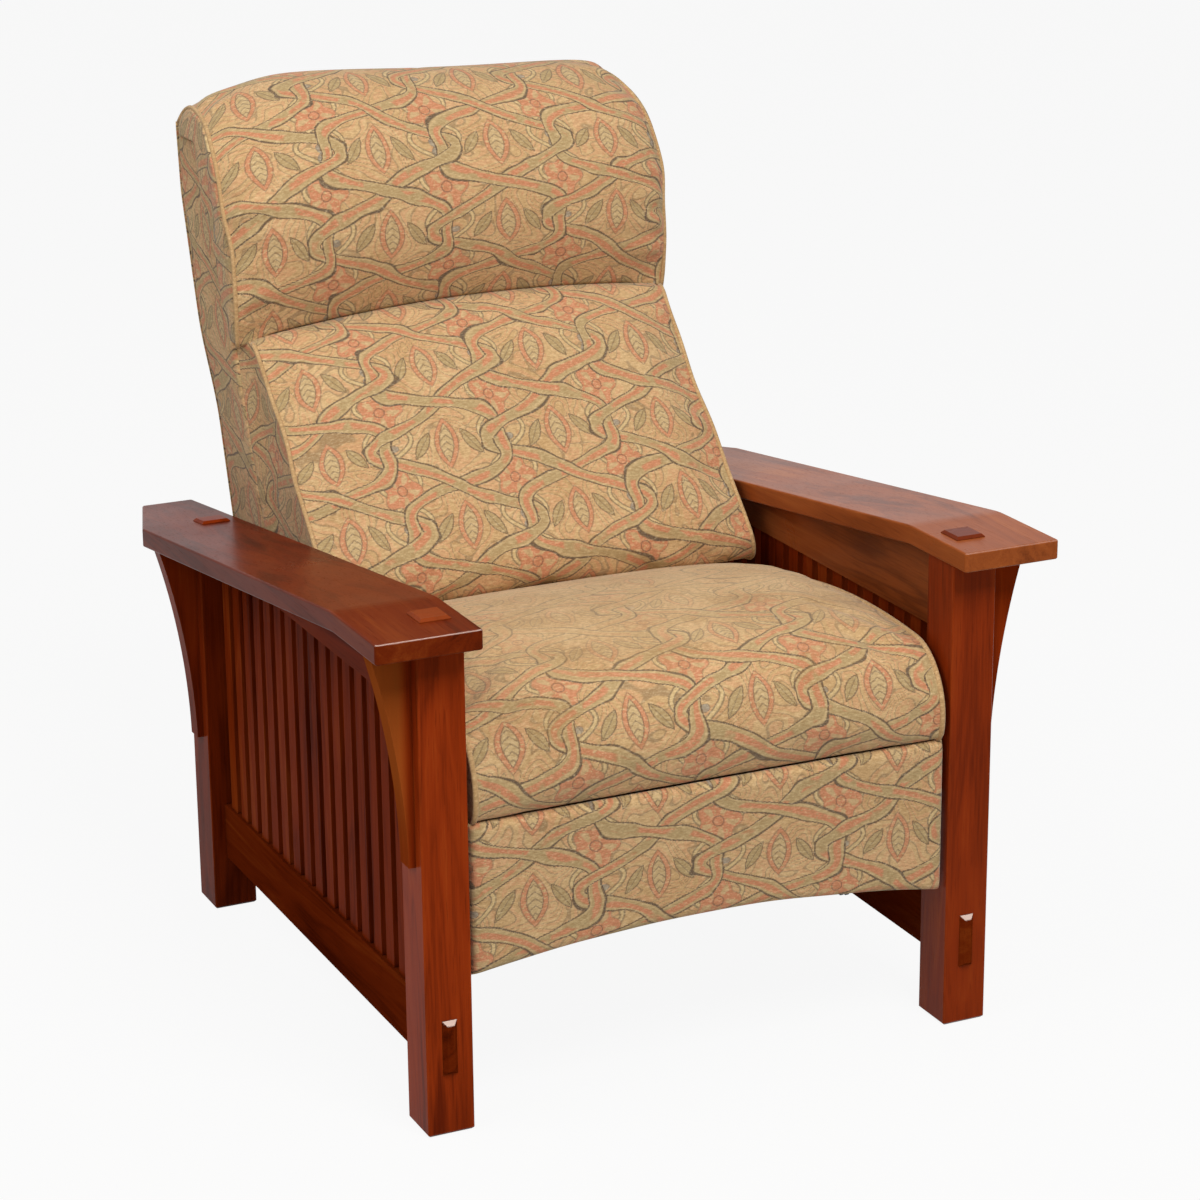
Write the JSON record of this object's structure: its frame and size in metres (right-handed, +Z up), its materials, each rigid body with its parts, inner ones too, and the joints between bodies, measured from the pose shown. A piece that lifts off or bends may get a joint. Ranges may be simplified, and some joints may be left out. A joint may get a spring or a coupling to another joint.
{
  "type": "mission reclining armchair",
  "caption": "Wooden bow-arm recliner with slatted sides, corbels and through tenons, a cushioned seat, a two-part reclining back and a linked folding footrest.",
  "frame": {"origin": "on the floor, below the middle of the chair's overall width and depth at rest", "axes": "+X to the right seen from the front, +Y to the back, +Z up"},
  "size_m": [0.864, 1.008, 1.0765],
  "materials": {
    "cherry": "satin red-brown stained cherry with fine straight grain",
    "frame_hardwood": "plain unfinished hardwood of the hidden frame",
    "plywood": "plain plywood",
    "steel": "black semi-gloss painted steel mechanism",
    "webbing": "elastic webbing",
    "upholstery": "woven jacquard in tan, sage and coral with slate outlines"
  },
  "bodies": {
    "frame": {"arm_left": "cherry", "arm_right": "cherry", "front_leg_left": "cherry", "front_leg_right": "cherry", "rear_leg_left": "cherry", "rear_leg_right": "cherry", "lower_side_rail_left": "cherry", "lower_side_rail_right": "cherry", "upper_side_rail_left": "cherry", "upper_side_rail_right": "cherry", "side_slats_left": "cherry", "side_slats_right": "cherry", "front_corbel_left": "cherry", "front_corbel_right": "cherry", "rear_corbel_left": "cherry", "rear_corbel_right": "cherry", "rear_stretcher": "cherry", "mechanism_cleat_left": "frame_hardwood", "mechanism_cleat_right": "frame_hardwood", "base_plate_left": "steel", "base_plate_right": "steel", "base_plate_bolts": "steel", "base_cross_tubes": "steel", "swing_base_pins": "steel"},
    "front_swing": {"front_swing_links": "steel"},
    "rear_swing": {"rear_swing_links": "steel"},
    "seat": {"seat_plate_left": "steel", "seat_plate_right": "steel", "seat_side_rail_left": "frame_hardwood", "seat_side_rail_right": "frame_hardwood", "seat_front_rail": "frame_hardwood", "seat_rear_rail": "frame_hardwood", "seat_spacer_blocks": "frame_hardwood", "seat_corner_blocks": "frame_hardwood", "seat_webbing": "webbing", "seat_cushion": "upholstery", "seat_pivot_pins": "steel"},
    "back": {"back_side_panel_left": "plywood", "back_side_panel_right": "plywood", "back_side_cover_left": "upholstery", "back_side_cover_right": "upholstery", "back_brackets": "steel", "back_bracket_bolts": "steel", "back_cross_rails": "frame_hardwood", "back_webbing": "webbing", "outer_back_panel": "upholstery", "lumbar_cushion": "upholstery", "head_cushion": "upholstery"},
    "drive_link": {"drive_links": "steel"},
    "front_link": {"front_links": "steel", "front_link_pins": "steel"},
    "tilt_link": {"tilt_links": "steel", "tilt_link_pins": "steel"},
    "guide_link": {"guide_links": "steel", "guide_cross_tube": "steel"},
    "footrest": {"footrest_board": "plywood", "footrest_pad": "upholstery", "footrest_brackets": "steel", "footrest_pins": "steel"}
  },
  "joints": [
    {"name": "back_recline", "type": "hinge", "parent": "seat", "child": "back", "pos_m": [0, 0.146, 0.35], "axis": [-1, 0, 0], "range_deg": [0, 28]},
    {"name": "front_swing_turn", "type": "hinge", "parent": "frame", "child": "front_swing", "pos_m": [0, -0.204, 0.23], "axis": [1, 0, 0], "range_deg": [0, 35.01]},
    {"name": "rear_swing_turn", "type": "hinge", "parent": "frame", "child": "rear_swing", "pos_m": [0, 0.096, 0.23], "axis": [1, 0, 0], "range_deg": [0, 35.01]},
    {"name": "seat_level", "type": "hinge", "parent": "front_swing", "child": "seat", "pos_m": [0, -0.1723, 0.29797], "axis": [1, 0, 0], "range_deg": [-35.01, 0]},
    {"name": "footrest_extend", "type": "hinge", "parent": "seat", "child": "drive_link", "pos_m": [0, -0.36398, 0.34515], "axis": [-1, 0, 0], "range_deg": [0, 85]},
    {"name": "front_link_turn", "type": "hinge", "parent": "drive_link", "child": "front_link", "pos_m": [0, -0.27523, 0.15482], "axis": [-1, 0, 0], "range_deg": [-113.21, 0]},
    {"name": "tilt_link_turn", "type": "hinge", "parent": "drive_link", "child": "tilt_link", "pos_m": [0, -0.25199, 0.10498], "axis": [-1, 0, 0], "range_deg": [-113.21, 0]},
    {"name": "footrest_tilt", "type": "hinge", "parent": "front_link", "child": "footrest", "pos_m": [0, -0.419, 0.347], "axis": [-1, 0, 0], "range_deg": [0, 113.21]},
    {"name": "guide_link_turn", "type": "hinge", "parent": "seat", "child": "guide_link", "pos_m": [0, -0.33588, 0.31715], "axis": [-1, 0, 0], "range_deg": [0, 86.28]}
  ],
  "couplings": [
    {"joint": "front_swing_turn", "follows": "back_recline", "ratio": 1.25},
    {"joint": "rear_swing_turn", "follows": "back_recline", "ratio": 1.25},
    {"joint": "seat_level", "follows": "back_recline", "ratio": -1.25},
    {"joint": "front_link_turn", "follows": "footrest_extend", "ratio": -1.3318},
    {"joint": "tilt_link_turn", "follows": "footrest_extend", "ratio": -1.3318},
    {"joint": "footrest_tilt", "follows": "footrest_extend", "ratio": 1.3318},
    {"joint": "guide_link_turn", "follows": "footrest_extend", "ratio": 1.015}
  ]
}
